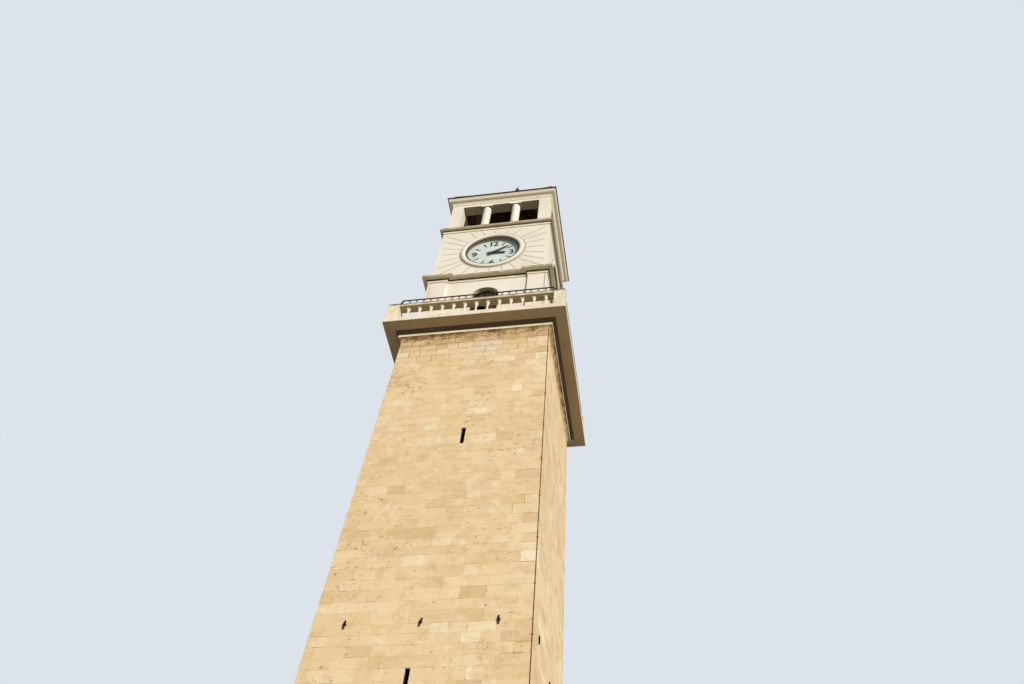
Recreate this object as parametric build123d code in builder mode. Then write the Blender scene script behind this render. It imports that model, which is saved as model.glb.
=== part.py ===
from build123d import *
import os
from math import atan2, degrees

os.makedirs("parts", exist_ok=True)

# A square stone clock tower: a battered ashlar shaft, a corbelled balcony with a balustrade,
# and a rendered upper tower of three stages (door stage, clock stage, open belfry) under a
# steep pyramid roof. Millimetres, +Z up, the front looks along -Y, and the origin is on the
# ground in the middle of the base.

# Driving dimensions
shaft_height = 21200
shaft_top_width = 4250
shaft_base_width = 4550
shaft_room = 2700            # clear width of the shaft inside
slab_width = 5286            # balcony slab, edge to edge
door_stage_width = 3682      # wall face to wall face, between the corner pilasters
pilaster_width = 613
pilaster_depth = 74
clock_stage_width = 3742
belfry_width = 3624
upper_wall = 350             # thickness of every wall of the upper tower

# Heights above the top of the shaft
crown_top = 220
slab_bottom = 360
slab_top = 542
kerb_top = 630
coping_bottom = 1216
coping_top = 1312
rail_top = 1531
door_wall_top = 3439
lower_cornice_top = 3675
clock_centre = 5276
clock_wall_top = 6720
sill_top = 6965
lintel_bottom = 8776
lintel_top = 8925
top_cornice_top = 9223
roof_foot = 9258
roof_flat = 13180
finial_top = 14060

# Names of the four sides and how far each is turned from the front
sides = {"front": 0, "right": 90, "back": 180, "left": 270}


def up(height):
    """Height above the ground of a level given above the top of the shaft."""
    return shaft_height + height


def turned(part, side):
    """A piece made on the front, turned to another side of the tower."""
    return part.rotate(Axis.Z, sides[side])


def heading(run):
    """Angle of a plan or elevation vector from the local X axis."""
    return degrees(atan2(run.Y, run.X))


def save(part, name):
    part.label = name
    export_step(part, f"parts/{name}.step")


def mitred_plan(outer_width, inner_width):
    """Plan of the front wall of a square room, cut at 45 degrees at both corners."""
    outer = outer_width / 2
    inner = inner_width / 2
    Polygon((-outer, -outer), (outer, -outer), (inner, -inner), (-inner, -inner), align=None)


def square_moulding(edge, bottom, top, room):
    """A square ring of moulded stone. The edge runs from the bottom to the top of its outside."""
    with BuildPart() as ring:
        for plane, how in ((Plane.XZ, Mode.ADD), (Plane.YZ, Mode.INTERSECT)):
            with BuildSketch(plane):
                with BuildLine():
                    add(edge)
                    Polyline(edge @ 1, (0, top), (0, bottom), edge @ 0)
                make_face()
                mirror(about=Plane.YZ)
            extrude(amount=slab_width, both=True, mode=how)
        with BuildSketch(Plane.XY.offset(bottom)):
            Rectangle(room, room)
        extrude(amount=top - bottom, mode=Mode.SUBTRACT)
    return ring.part


# Shaft: four battered ashlar walls, mitred at the corners. The front and back have slit windows.
slit_width = 100
slit_height = 560
top_slit_drop = 4190         # from the top of the shaft to the middle of the highest slit
low_slit_height = 3790       # from the ground to the middle of the lowest slit
slit_offset = 175
middle_slit_offset = -80
slit_spacing = (shaft_height - top_slit_drop - low_slit_height) / 2
slit_places = ((slit_offset, -top_slit_drop),
               (middle_slit_offset, -top_slit_drop - slit_spacing),
               (slit_offset, -top_slit_drop - 2 * slit_spacing))
entrance_width = 1000
entrance_spring = 1700
floor_thickness = 150


with BuildPart() as shaft_plain_wall:
    with BuildSketch(Plane.XY):
        mitred_plan(shaft_base_width, shaft_room)
    with BuildSketch(Plane.XY.offset(shaft_height)):
        mitred_plan(shaft_top_width, shaft_room)
    loft()
for side in ("right", "left"):
    save(turned(shaft_plain_wall.part, side), f"shaft_{side}_wall")

with BuildPart() as shaft_slit_wall:
    add(shaft_plain_wall.part)
    with BuildSketch(Plane.XZ):
        for x, z in slit_places:
            with Locations((x, up(z))):
                Rectangle(slit_width, slit_height)
    extrude(amount=shaft_base_width, mode=Mode.SUBTRACT)
save(turned(shaft_slit_wall.part, "back"), "shaft_back_wall")

with BuildPart() as shaft_front_wall:
    add(shaft_slit_wall.part)
    with BuildSketch(Plane.XZ):
        with Locations((0, entrance_spring)):
            Circle(entrance_width / 2)
        with Locations((0, (entrance_spring + floor_thickness) / 2)):
            Rectangle(entrance_width, entrance_spring - floor_thickness)
    extrude(amount=shaft_base_width, mode=Mode.SUBTRACT)
save(shaft_front_wall.part, "shaft_front_wall")

with BuildPart() as ground_floor:
    with BuildSketch():
        Rectangle(shaft_room, shaft_room)
    extrude(amount=floor_thickness)
save(ground_floor.part, "ground_floor")

# Entrance: a plank door in an oak frame, set deep in the front wall.
frame_width = 60
frame_depth = 90
leaf_thickness = 40
leaf_clearance = 4
entrance_reveal = 320
entrance_set = shaft_base_width / 2 - entrance_reveal


def arched_face(width, spring, bottom):
    with Locations((0, spring)):
        Circle(width / 2)
    with Locations((0, (spring + bottom) / 2)):
        Rectangle(width, spring - bottom)


with BuildPart() as entrance_frame:
    with BuildSketch(Plane.XZ.offset(entrance_set)):
        arched_face(entrance_width, entrance_spring, floor_thickness)
        with Locations((0, entrance_spring)):
            Circle(entrance_width / 2 - frame_width, mode=Mode.SUBTRACT)
        with Locations((0, (entrance_spring + floor_thickness) / 2)):
            Rectangle(entrance_width - 2 * frame_width, entrance_spring - floor_thickness,
                      mode=Mode.SUBTRACT)
    extrude(amount=-frame_depth)
save(entrance_frame.part, "entrance_frame")

with BuildPart() as entrance_door:
    with BuildSketch(Plane.XZ.offset(entrance_set - frame_depth)):
        arched_face(entrance_width - 2 * leaf_clearance, entrance_spring, floor_thickness)
    extrude(amount=-leaf_thickness)
save(entrance_door.part, "entrance_door")

# Wall ties: an iron bar with a boss at its middle, at the end of each tie rod.
anchor_drop = 9540
anchor_spacing = 1525
anchor_length = 190
anchor_width = 26
anchor_stand = 32
boss_radius = 34
anchor_tilts = (4, 13, -2)    # degrees clockwise of upright, from left to right

batter = (shaft_base_width - shaft_top_width) / 2 / shaft_height
anchor_face = Plane(origin=(0, -shaft_top_width / 2 - anchor_drop * batter, up(-anchor_drop)),
                    x_dir=(1, 0, 0), z_dir=(0, -1, batter))
anchor_places = [Location((place * anchor_spacing, 0), -tilt)
                 for place, tilt in zip((-1, 0, 1), anchor_tilts)]

with BuildPart() as one_side_anchors:
    with BuildSketch(anchor_face):
        with Locations(*anchor_places):
            Rectangle(anchor_width, anchor_length)
            Circle(boss_radius)
    extrude(amount=anchor_stand)
with BuildPart() as tie_anchors:
    for side in sides:
        add(turned(one_side_anchors.part, side))
save(tie_anchors.part, "tie_anchors")

# Crown of the shaft: a weathered cavetto under a broad fillet, then a cove, and a soffit course
# that carries the edge of the balcony slab.
crown_half = 2226
crown_foot_stand = 8
crown_foot_height = 24
fillet_height = 92
fillet_stand = 12
cavetto_sag = 20
crown_cove_half = 2326
crown_cove_top = 340
crown_cove_sag = 18
bed_margin = 30
drip_depth = 12
with BuildLine() as crown_edge:
    foot = shaft_top_width / 2 + crown_foot_stand
    fillet_foot = up(crown_top - fillet_height)
    bed_edge = slab_width / 2 - bed_margin
    Line((foot, up(0)), (foot, up(crown_foot_height)))
    crown_cavetto = SagittaArc((foot, up(crown_foot_height)),
                               (crown_half - fillet_stand, fillet_foot), cavetto_sag)
    Polyline(crown_cavetto @ 1, (crown_half, fillet_foot), (crown_half, up(crown_top)))
    crown_cove = SagittaArc((crown_half, up(crown_top)),
                            (crown_cove_half, up(crown_cove_top)), crown_cove_sag)
    Polyline(crown_cove @ 1, (bed_edge, up(slab_bottom - drip_depth)),
             (bed_edge, up(slab_bottom)))
save(square_moulding(crown_edge.line, up(0), up(slab_bottom), shaft_room), "shaft_crown")

# Balcony slab, one floor through the tower, with a kerb that carries the balusters.
pedestal_face = 2608
pedestal_width = 320
coping_face = 2581
coping_width = 262
balustrade_line = coping_face - coping_width / 2
pedestal_centre = pedestal_face - pedestal_width / 2
bay_length = 2 * (pedestal_face - pedestal_width)

with BuildPart() as balcony_slab:
    with BuildSketch(Plane.XY.offset(up(slab_bottom))):
        Rectangle(slab_width, slab_width)
    extrude(amount=slab_top - slab_bottom)
    with BuildSketch(Plane.XY.offset(up(slab_top))):
        with PolarLocations(balustrade_line, 4):
            Rectangle(coping_width, bay_length)
    extrude(amount=kerb_top - slab_top)
save(balcony_slab.part, "balcony_slab")

with BuildPart() as corner_pedestals:
    with BuildSketch(Plane.XY.offset(up(slab_top))):
        with GridLocations(2 * pedestal_centre, 2 * pedestal_centre, 2, 2):
            Rectangle(pedestal_width, pedestal_width)
    extrude(amount=coping_top - slab_top)
save(corner_pedestals.part, "corner_pedestals")

with BuildPart() as balustrade_copings:
    with BuildSketch(Plane.XY.offset(up(coping_bottom))):
        with PolarLocations(balustrade_line, 4):
            Rectangle(coping_width, bay_length)
    extrude(amount=coping_top - coping_bottom)
save(balustrade_copings.part, "balustrade_copings")

# Balusters: turned stone, thirteen to a side, each with a square foot and a square cap.
balusters_per_side = 13
baluster_spacing = 339
baluster_foot = 116
foot_height = 45
cap_height = 50
baluster_height = coping_bottom - kerb_top
base_radius = 50
base_height = 22
waist_radius = 29
waist_height = 230
vase_sag = 10
neck_radius = 54
neck_height = 20
neck_sag = 14

with BuildPart() as baluster:
    with BuildSketch(Plane.XZ):
        with BuildLine():
            turned_top = baluster_height - cap_height
            lower = Polyline((0, foot_height), (base_radius, foot_height),
                             (base_radius, foot_height + base_height))
            vase = SagittaArc(lower @ 1, (waist_radius, foot_height + waist_height), vase_sag)
            neck = SagittaArc(vase @ 1, (neck_radius, turned_top - neck_height), neck_sag)
            Polyline(neck @ 1, (neck_radius, turned_top), (0, turned_top), lower @ 0)
        make_face()
    revolve(axis=Axis.Z)
    with BuildSketch(Plane.XY):
        Rectangle(baluster_foot, baluster_foot)
    extrude(amount=foot_height)
    with BuildSketch(Plane.XY.offset(turned_top)):
        Rectangle(baluster_foot, baluster_foot)
    extrude(amount=cap_height)

with BuildPart() as baluster_row:
    row_places = [((i - balusters_per_side // 2) * baluster_spacing, -balustrade_line,
                   up(kerb_top)) for i in range(balusters_per_side)]
    with Locations(*row_places):
        add(baluster.part)
for side in sides:
    save(turned(baluster_row.part, side), f"{side}_balusters")

# Iron safety rail, fixed on the coping and carried across each corner over the pedestal.
rail_line = 2550
rail_straight = 2240
cell_pitch = 213
rail_cells = round(2 * rail_straight / cell_pitch)
corner_cells = round((rail_line - rail_straight) * 2 ** 0.5 / cell_pitch)
bar_size = 12
handrail_width = 32
handrail_thickness = 10
foot_rail_rise = 40


def draw_run(start, end, width):
    """Plan of a bar laid from one plan point to another."""
    run = end - start
    middle = (start + end) / 2
    with Locations(Location((middle.X, middle.Y), heading(run))):
        Rectangle(run.length + width, width)


def railing(runs):
    """Handrail, foot rail and upright bars along each run of plan points."""
    with BuildPart() as rail:
        with BuildSketch(Plane.XY.offset(up(coping_top))):
            for start, end, cells in runs:
                for i in range(cells + 1):
                    place = start + (end - start) * (i / cells)
                    with Locations((place.X, place.Y)):
                        Rectangle(bar_size, bar_size)
        extrude(amount=rail_top - coping_top - handrail_thickness / 2)
        for width, thickness, top in ((handrail_width, handrail_thickness, rail_top),
                                      (bar_size / 2, bar_size, coping_top + foot_rail_rise)):
            with BuildSketch(Plane.XY.offset(up(top - thickness))):
                for start, end, cells in runs:
                    draw_run(start, end, width)
            extrude(amount=thickness)
    return rail.part


corner_left = Vector(-rail_straight, -rail_line)
corner_right = Vector(rail_straight, -rail_line)
past_left = Vector(-rail_line, -rail_straight)
past_right = Vector(rail_line, -rail_straight)
long_rail = railing(((corner_left, corner_right, rail_cells),
                     (corner_left, past_left, corner_cells),
                     (corner_right, past_right, corner_cells)))
for side in ("front", "back"):
    save(turned(long_rail, side), f"{side}_railing")

rail_gap = Vector(2 * handrail_width, 0)
side_rail = railing(((corner_left + rail_gap, corner_right - rail_gap, rail_cells),))
for side in ("right", "left"):
    save(turned(side_rail, side), f"{side}_railing")

# Door stage: rendered walls with an arched balcony door and a raised archivolt on each side,
# and a pilaster that wraps each corner.
door_width = 874
door_spring = 2547
archivolt_width = 184
archivolt_depth = 25
door_room = door_stage_width - 2 * upper_wall
pilaster_half = door_stage_width / 2 + pilaster_depth

with BuildPart() as door_stage_wall:
    with BuildSketch(Plane.XY.offset(up(slab_top))):
        mitred_plan(door_stage_width, door_room)
    extrude(amount=door_wall_top - slab_top)
    with BuildSketch(Plane.XZ.offset(door_stage_width / 2)):
        arched_face(door_width + 2 * archivolt_width, up(door_spring), up(slab_top))
    extrude(amount=archivolt_depth)
    with BuildSketch(Plane.XZ.offset(door_room / 2)):
        arched_face(door_width, up(door_spring), up(slab_top))
    extrude(amount=upper_wall + archivolt_depth, mode=Mode.SUBTRACT)
for side in sides:
    save(turned(door_stage_wall.part, side), f"{side}_door_wall")

with BuildPart() as corner_pilasters:
    with BuildSketch(Plane.XY.offset(up(slab_top))):
        pilaster_centre = pilaster_half - pilaster_width / 2
        with GridLocations(2 * pilaster_centre, 2 * pilaster_centre, 2, 2):
            Rectangle(pilaster_width, pilaster_width)
        Rectangle(door_stage_width, door_stage_width, mode=Mode.SUBTRACT)
    extrude(amount=door_wall_top - slab_top)
save(corner_pilasters.part, "corner_pilasters")

# Balcony doors: a wooden frame follows the arch, with a transom at its springing and an open
# lunette above. Two square-headed leaves close against the frame from inside. The front left
# leaf stands open, turned in against the jamb.
door_reveal = 180            # from the wall face to the back of the door frame
door_set = door_stage_width / 2 - door_reveal
door_frame_width = 50
door_frame_depth = 70
transom_height = 60
leaf_width = door_width / 2 - leaf_clearance

with BuildPart() as one_door_frame:
    with BuildSketch(Plane.XZ.offset(door_set)):
        arched_face(door_width, up(door_spring), up(slab_top))
        with Locations((0, up(door_spring))):
            Circle(door_width / 2 - door_frame_width, mode=Mode.SUBTRACT)
        with Locations((0, up((door_spring + slab_top) / 2))):
            Rectangle(door_width - 2 * door_frame_width, door_spring - slab_top,
                      mode=Mode.SUBTRACT)
        with Locations((0, up(door_spring))):
            Rectangle(door_width - 2 * door_frame_width, transom_height)
    extrude(amount=door_frame_depth)
with BuildPart() as balcony_door_frames:
    for side in sides:
        add(turned(one_door_frame.part, side))
save(balcony_door_frames.part, "balcony_door_frames")

with BuildPart() as right_leaf:
    with BuildSketch(Plane.XZ.offset(door_set)):
        with Locations((leaf_clearance, up(slab_top))):
            Rectangle(leaf_width - leaf_clearance, door_spring - slab_top,
                      align=(Align.MIN, Align.MIN))
    extrude(amount=-leaf_thickness)
left_leaf = mirror(right_leaf.part, about=Plane.YZ)
hinge_line = Axis((-leaf_width, -door_set, 0), (0, 0, 1))
open_leaf = left_leaf.rotate(hinge_line, 90).moved(Location((leaf_thickness, 0, 0)))

with BuildPart() as balcony_doors:
    add(right_leaf.part)
    add(open_leaf)
    for side in ("right", "back", "left"):
        add(turned(right_leaf.part, side))
        add(turned(left_leaf, side))
save(balcony_doors.part, "balcony_doors")

# Lower cornice: a plain corona over a narrow frieze band, breaking forward over the pilasters.
frieze_stand = 25
ovolo = 32
ovolo_sag = 9
weathering = 25              # slope along the top edge of a cornice
lower_corona = 185
lower_corona_height = 96
sill_corona = 129
sill_corona_height = 105


def cornice_edge(face, corona, bottom, top, corona_height):
    """Outside of a cornice on a wall face: frieze band, ovolo, soffit, corona and weathering."""
    soffit = top - corona_height
    with BuildLine() as edge:
        Polyline((face, bottom), (face + frieze_stand, bottom),
                 (face + frieze_stand, soffit - ovolo))
        SagittaArc((face + frieze_stand, soffit - ovolo),
                   (face + frieze_stand + ovolo, soffit), -ovolo_sag)
        Polyline((face + frieze_stand + ovolo, soffit), (face + corona, soffit),
                 (face + corona, top - weathering), (face + corona - weathering, top))
    return edge.line


lower_edge = cornice_edge(door_stage_width / 2, lower_corona, up(door_wall_top),
                          up(lower_cornice_top), lower_corona_height)
pad_edge = cornice_edge(pilaster_width / 2, lower_corona, up(door_wall_top),
                        up(lower_cornice_top), lower_corona_height)
corner_pad = square_moulding(pad_edge, up(door_wall_top), up(lower_cornice_top), 1)
with BuildPart() as lower_cornice:
    add(square_moulding(lower_edge, up(door_wall_top), up(lower_cornice_top), door_room))
    with GridLocations(2 * pilaster_centre, 2 * pilaster_centre, 2, 2):
        add(corner_pad)
    with BuildSketch(Plane.XY.offset(up(door_wall_top))):
        Rectangle(door_room, door_room)
    extrude(amount=lower_cornice_top - door_wall_top, mode=Mode.SUBTRACT)
save(lower_cornice.part, "lower_cornice")

# Clock stage: four rendered walls, each with a round recess for the dial and its steel rim, a
# groove round the plaster ring, and incised rays that run out to the edge of a panel.
dial_radius = 890
dial_set = 114
dial_thickness = 30
ledge_radius = 780
rim_width = 34
rim_depth = 30
rim_stand = 8
rim_clearance = 0.3
ring_radius = 1095
ring_stand = 60
groove_radius = 1124
groove_width = 20
groove_depth = 12
panel_half_width = 1750
panel_half_height = 1312
clock_room = clock_stage_width - 2 * upper_wall
clock_face = Plane.XZ.offset(clock_stage_width / 2)
dial_plane = Plane.XZ.offset(clock_stage_width / 2 - dial_set)
ray_ends = [(panel_half_width, panel_half_height * k / 3) for k in range(4)]
ray_ends += [(panel_half_width * k / 4, panel_half_height) for k in range(3)]

with BuildPart() as clock_wall:
    with BuildSketch(Plane.XY.offset(up(lower_cornice_top))):
        mitred_plan(clock_stage_width, clock_room)
    extrude(amount=clock_wall_top - lower_cornice_top)
    with BuildSketch(clock_face):
        with Locations((0, up(clock_centre))):
            Circle(dial_radius)
    extrude(amount=-dial_set - dial_thickness, mode=Mode.SUBTRACT)
    with BuildSketch(clock_face):
        with Locations((0, up(clock_centre))):
            Circle(ledge_radius)
    extrude(amount=-upper_wall, mode=Mode.SUBTRACT)
    with BuildSketch(clock_face):
        with Locations((0, up(clock_centre))):
            Circle(groove_radius + groove_width / 2)
            Circle(groove_radius - groove_width / 2, mode=Mode.SUBTRACT)
        ray_start = groove_radius + 1.5 * groove_width
        for x, z in ray_ends:
            for end in {(x, z), (-x, z), (x, -z), (-x, -z)}:
                ray = Vector(*end)
                middle = (ray + ray.normalized() * ray_start) / 2
                with Locations(Location((middle.X, up(clock_centre) + middle.Y), heading(ray))):
                    Rectangle(ray.length - ray_start, groove_width)
    extrude(amount=-groove_depth, mode=Mode.SUBTRACT)
for side in sides:
    save(turned(clock_wall.part, side), f"{side}_clock_wall")

with BuildPart() as one_clock_ring:
    with BuildSketch(Plane.XY.offset(up(clock_centre))):
        with BuildLine():
            face = -clock_stage_width / 2
            Line((dial_radius, face), (ring_radius, face))
            ThreePointArc((ring_radius, face), ((ring_radius + dial_radius) / 2, face - ring_stand),
                          (dial_radius, face))
        make_face()
    revolve(axis=Axis((0, 0, up(clock_centre)), (0, 1, 0)))
with BuildPart() as clock_rings:
    for side in sides:
        add(turned(one_clock_ring.part, side))
save(clock_rings.part, "clock_rings")

with BuildPart() as one_dial:
    with BuildSketch(dial_plane):
        with Locations((0, up(clock_centre))):
            Circle(dial_radius - 1)
    extrude(amount=-dial_thickness)
with BuildPart() as clock_dials:
    for side in sides:
        add(turned(one_dial.part, side))
save(clock_dials.part, "clock_dials")

with BuildPart() as one_dial_rim:
    with BuildSketch(clock_face.offset(rim_stand)):
        with Locations((0, up(clock_centre))):
            Circle(dial_radius - rim_clearance)
            Circle(dial_radius - rim_width, mode=Mode.SUBTRACT)
    extrude(amount=-rim_depth)
with BuildPart() as dial_rims:
    for side in sides:
        add(turned(one_dial_rim.part, side))
save(dial_rims.part, "dial_rims")

# Clock hands at nine minutes past three. The front pair turns on an arbor fixed in the dial.
arbor_radius = 18
arbor_clearance = 0.3
hand_thickness = 10
hour_rise = 25
minute_rise = 45
minute_angle = 54
hour_angle = 90 + minute_angle / 12
minute_length = 620
hour_length = 411
hand_tail = 205
tail_half = 44
hub_rim = 14
hour_hub_half = 62
hour_tip_half = 46
minute_hub_half = 46
minute_tip_half = 22
cap_gap = 5
cap_lip = 12
cap_thickness = 8
cap_foot = minute_rise + hand_thickness + cap_gap


def hand_outline(length, hub_half, tip_half, angle):
    """A tapered hand with a counterweight tail, turned clockwise from twelve o'clock."""
    with Locations(Location((0, up(clock_centre)), -angle)):
        Polygon((-tail_half, -hand_tail), (tail_half, -hand_tail), (hub_half, 0),
                (tip_half, length), (-tip_half, length), (-hub_half, 0), align=None)
        Circle(hub_half + hub_rim)


def hour_outline():
    hand_outline(hour_length, hour_hub_half, hour_tip_half, hour_angle)


def minute_outline():
    hand_outline(minute_length, minute_hub_half, minute_tip_half, minute_angle)


def arbor_hole():
    with Locations((0, up(clock_centre))):
        Circle(arbor_radius + arbor_clearance, mode=Mode.SUBTRACT)


with BuildPart() as hour_hand:
    with BuildSketch(dial_plane.offset(hour_rise)):
        hour_outline()
        arbor_hole()
    extrude(amount=hand_thickness)
save(hour_hand.part, "hour_hand")

with BuildPart() as minute_hand:
    with BuildSketch(dial_plane.offset(minute_rise)):
        minute_outline()
        arbor_hole()
    extrude(amount=hand_thickness)
save(minute_hand.part, "minute_hand")

with BuildPart() as clock_arbor:
    with BuildSketch(dial_plane):
        with Locations((0, up(clock_centre))):
            Circle(arbor_radius)
    extrude(amount=cap_foot)
    with BuildSketch(dial_plane.offset(cap_foot)):
        with Locations((0, up(clock_centre))):
            Circle(arbor_radius + cap_lip)
    extrude(amount=cap_thickness)
save(clock_arbor.part, "clock_arbor")

with BuildPart() as one_fixed_pair:
    with BuildSketch(dial_plane.offset(hour_rise)):
        hour_outline()
    extrude(amount=hand_thickness)
    with BuildSketch(dial_plane.offset(minute_rise)):
        minute_outline()
    extrude(amount=hand_thickness)
    with BuildSketch(dial_plane):
        with Locations((0, up(clock_centre))):
            Circle(arbor_radius + cap_lip)
    extrude(amount=cap_foot)
with BuildPart() as other_clock_hands:
    for side in ("right", "back", "left"):
        add(turned(one_fixed_pair.part, side))
save(other_clock_hands.part, "other_clock_hands")

# Sill cornice under the belfry, and the belfry floor inside it.
sill_edge = cornice_edge(clock_stage_width / 2, sill_corona, up(clock_wall_top), up(sill_top),
                         sill_corona_height)
save(square_moulding(sill_edge, up(clock_wall_top), up(sill_top), clock_room), "sill_cornice")

with BuildPart() as belfry_floor:
    with BuildSketch(Plane.XY.offset(up(sill_top) - floor_thickness)):
        Rectangle(clock_room, clock_room)
    extrude(amount=floor_thickness)
save(belfry_floor.part, "belfry_floor")

# Belfry: square corner piers and two round columns a side carry a plain lintel.
pier_width = 407
column_radius = 145
column_place = 534
abacus_width = 400
abacus_height = 66
column_line = (belfry_width - upper_wall) / 2
belfry_room = belfry_width - 2 * upper_wall

with BuildPart() as belfry_piers:
    with BuildSketch(Plane.XY.offset(up(sill_top))):
        pier_spacing = belfry_width - pier_width
        with GridLocations(pier_spacing, pier_spacing, 2, 2):
            Rectangle(pier_width, pier_width)
    extrude(amount=lintel_bottom - sill_top)
save(belfry_piers.part, "belfry_piers")

with BuildPart() as column_pair:
    with BuildSketch(Plane.XY.offset(up(sill_top))):
        with Locations((-column_place, -column_line), (column_place, -column_line)):
            Circle(column_radius)
    extrude(amount=lintel_bottom - sill_top - abacus_height)
    with BuildSketch(Plane.XY.offset(up(lintel_bottom - abacus_height))):
        with Locations((-column_place, -column_line), (column_place, -column_line)):
            Rectangle(abacus_width, upper_wall)
    extrude(amount=abacus_height)
with BuildPart() as belfry_columns:
    for side in sides:
        add(turned(column_pair.part, side))
save(belfry_columns.part, "belfry_columns")

with BuildPart() as belfry_lintel:
    with BuildSketch(Plane.XY.offset(up(lintel_bottom))):
        Rectangle(belfry_width, belfry_width)
        Rectangle(belfry_room, belfry_room, mode=Mode.SUBTRACT)
    extrude(amount=lintel_top - lintel_bottom)
save(belfry_lintel.part, "belfry_lintel")

# Top cornice: a foot fillet, cove, soffit, corona and a small cyma under the eave.
foot_fillet = (18, 22)       # reach from the wall face, and rise above the lintel
cove_top = (79, 130)
cove_sag = 14
soffit_rise = 155
corona_top = (160, 210)
cyma_reach = 197
cyma_sag = 8
eave_fillet = 24
with BuildLine() as top_edge:
    face = belfry_width / 2
    foot_corner = (face + foot_fillet[0], up(lintel_top + foot_fillet[1]))
    cove_corner = (face + cove_top[0], up(lintel_top + cove_top[1]))
    corona_corner = (face + corona_top[0], up(lintel_top + corona_top[1]))
    cyma_corner = (face + cyma_reach, up(top_cornice_top - eave_fillet))
    Polyline((face, up(lintel_top)), (face + foot_fillet[0], up(lintel_top)), foot_corner)
    SagittaArc(foot_corner, cove_corner, cove_sag)
    Polyline(cove_corner, (face + cove_top[0], up(lintel_top + soffit_rise)),
             (face + corona_top[0], up(lintel_top + soffit_rise)), corona_corner)
    SagittaArc(corona_corner, cyma_corner, cyma_sag)
    Line(cyma_corner, (face + cyma_reach, up(top_cornice_top)))
save(square_moulding(top_edge.line, up(lintel_top), up(top_cornice_top), belfry_room),
     "top_cornice")

# Roof: a steep hollow pyramid with a thin upright eave, cut flat at the top for the finial.
eave_half = 2040
roof_flat_half = 60
roof_steepness = (roof_flat - roof_foot) / (eave_half - roof_flat_half)
ceiling_half = 1890
rafter_depth = 134
rafter_width = 90
rafter_spacing = 700
hip_width = 110


def pyramid(half, foot):
    """A solid pyramid under the roof slope, on a square foot of the given half width."""
    tip = 1
    with BuildPart() as solid:
        with BuildSketch(Plane.XY.offset(up(foot))):
            Rectangle(2 * half, 2 * half)
        with BuildSketch(Plane.XY.offset(up(foot) + (half - tip) * roof_steepness)):
            Rectangle(2 * tip, 2 * tip)
        loft()
    return solid.part


with BuildPart() as roof:
    with BuildSketch(Plane.XY.offset(up(roof_foot))):
        Rectangle(2 * eave_half, 2 * eave_half)
    with BuildSketch(Plane.XY.offset(up(roof_flat))):
        Rectangle(2 * roof_flat_half, 2 * roof_flat_half)
    loft()
    with BuildSketch(Plane.XY.offset(up(top_cornice_top))):
        Rectangle(2 * eave_half, 2 * eave_half)
    extrude(amount=roof_foot - top_cornice_top)
    add(pyramid(ceiling_half, top_cornice_top), mode=Mode.SUBTRACT)
save(roof.part, "roof")

with BuildPart() as roof_rafters:
    add(pyramid(ceiling_half, top_cornice_top))
    add(pyramid(ceiling_half - rafter_depth, top_cornice_top), mode=Mode.SUBTRACT)
    with BuildSketch(Plane.XY.offset(up(top_cornice_top))):
        for turn in (0, 90):
            with Locations(Location((0, 0), turn)):
                with GridLocations(rafter_spacing, 0, 5, 1):
                    Rectangle(rafter_width, 2 * ceiling_half)
        for turn in (45, 135):
            with Locations(Location((0, 0), turn)):
                Rectangle(hip_width, 3 * ceiling_half)
    extrude(amount=roof_flat - top_cornice_top, mode=Mode.INTERSECT)
save(roof_rafters.part, "roof_rafters")

# Finial: a turned metal ball and spike on the flat of the roof.
ball_rise = 410              # middle of the ball above the flat of the roof
ball_radius = 85
foot_radius = 56
collar_radius = 44
collar_rise = 60
stem_radius = 24
stem_rise = 110
spike_radius = 20
spike_tip = 3
ball_height = roof_flat + ball_rise
with BuildPart() as finial:
    with BuildSketch(Plane.XZ):
        with BuildLine():
            stem_end = (ball_radius ** 2 - stem_radius ** 2) ** 0.5
            spike_foot = (ball_radius ** 2 - spike_radius ** 2) ** 0.5
            stem = Polyline((0, up(roof_flat)), (foot_radius, up(roof_flat)),
                            (collar_radius, up(roof_flat + collar_rise)),
                            (stem_radius, up(roof_flat + stem_rise)),
                            (stem_radius, up(ball_height - stem_end)))
            ball = ThreePointArc(stem @ 1, (ball_radius, up(ball_height)),
                                 (spike_radius, up(ball_height + spike_foot)))
            Polyline(ball @ 1, (spike_tip, up(finial_top)), (0, up(finial_top)), stem @ 0)
        make_face()
    revolve(axis=Axis.Z)
save(finial.part, "finial")
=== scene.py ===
from math import atan2, cos, pi, radians, sin, sqrt, tan
from random import Random

import bpy
from mathutils import Matrix, Vector


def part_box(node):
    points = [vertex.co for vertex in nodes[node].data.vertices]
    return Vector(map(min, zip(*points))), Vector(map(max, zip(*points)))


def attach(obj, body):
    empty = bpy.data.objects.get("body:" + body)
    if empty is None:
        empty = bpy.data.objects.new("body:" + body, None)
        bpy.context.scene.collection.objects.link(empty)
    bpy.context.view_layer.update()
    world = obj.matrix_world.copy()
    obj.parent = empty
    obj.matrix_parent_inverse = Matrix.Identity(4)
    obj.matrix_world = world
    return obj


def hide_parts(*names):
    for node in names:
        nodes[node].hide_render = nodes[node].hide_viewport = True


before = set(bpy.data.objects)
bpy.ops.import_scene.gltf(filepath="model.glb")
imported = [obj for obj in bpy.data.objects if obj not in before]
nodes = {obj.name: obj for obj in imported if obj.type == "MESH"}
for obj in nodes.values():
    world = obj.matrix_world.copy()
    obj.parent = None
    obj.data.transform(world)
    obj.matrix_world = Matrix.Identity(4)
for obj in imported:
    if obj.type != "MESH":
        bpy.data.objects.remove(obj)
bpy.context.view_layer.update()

# Viewpoint. The camera stands on the ground near the front right corner, at eye height, and looks
# steeply up the tower. Its place, turn and focal length were fitted to the edges in the photograph.
eye = (4.601, -15.722, 1.635)
yaw, pitch, roll = -0.25130, 0.93784, 0.12089
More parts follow.
